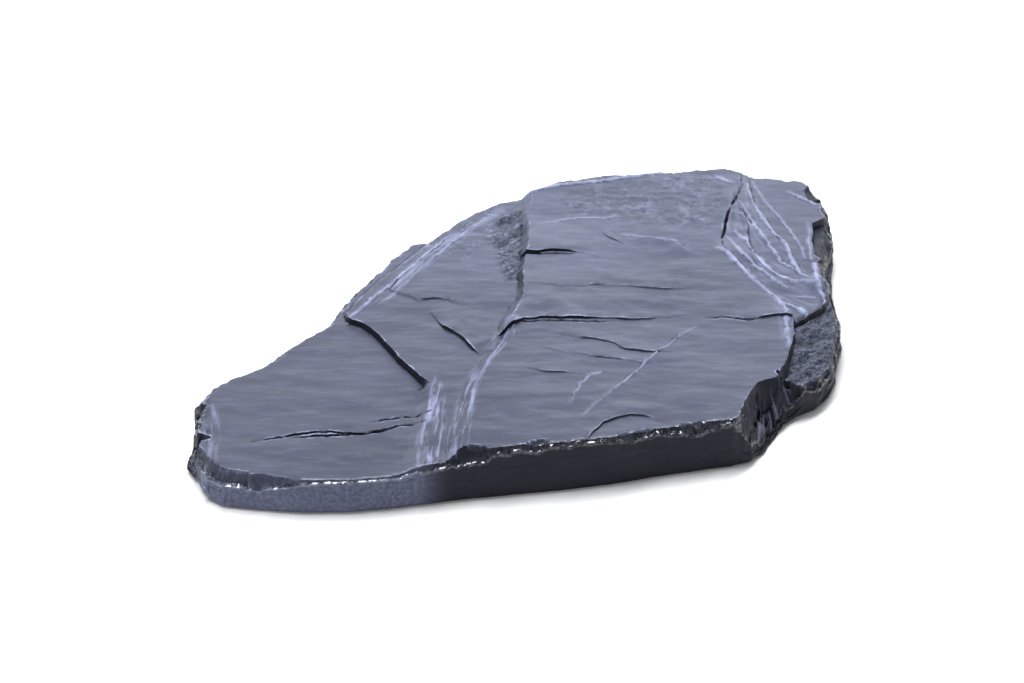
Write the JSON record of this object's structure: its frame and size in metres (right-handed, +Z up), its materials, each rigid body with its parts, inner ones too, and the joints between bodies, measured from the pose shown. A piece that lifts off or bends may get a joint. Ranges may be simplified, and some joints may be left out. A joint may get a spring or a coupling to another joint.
{
  "type": "slate slab",
  "caption": "Irregular flat slab of dark wet slate, cleft along its bedding, with stepped ledges on top, chipped layered edges and a flat base to lie on.",
  "frame": {"origin": "middle of the slab's box in plan, at the level of its flat underside", "axes": "+X along the slab's length, from its pointed thin end to its thick stepped end; +Y away from the long front edge; +Z up, through its thickness"},
  "size_m": [0.2094, 0.1632, 0.0211],
  "materials": {
    "slate": "wet cleft slate, dark blue-grey, satin"
  },
  "bodies": {
    "root": {"slate_slab": "slate"}
  },
  "joints": []
}
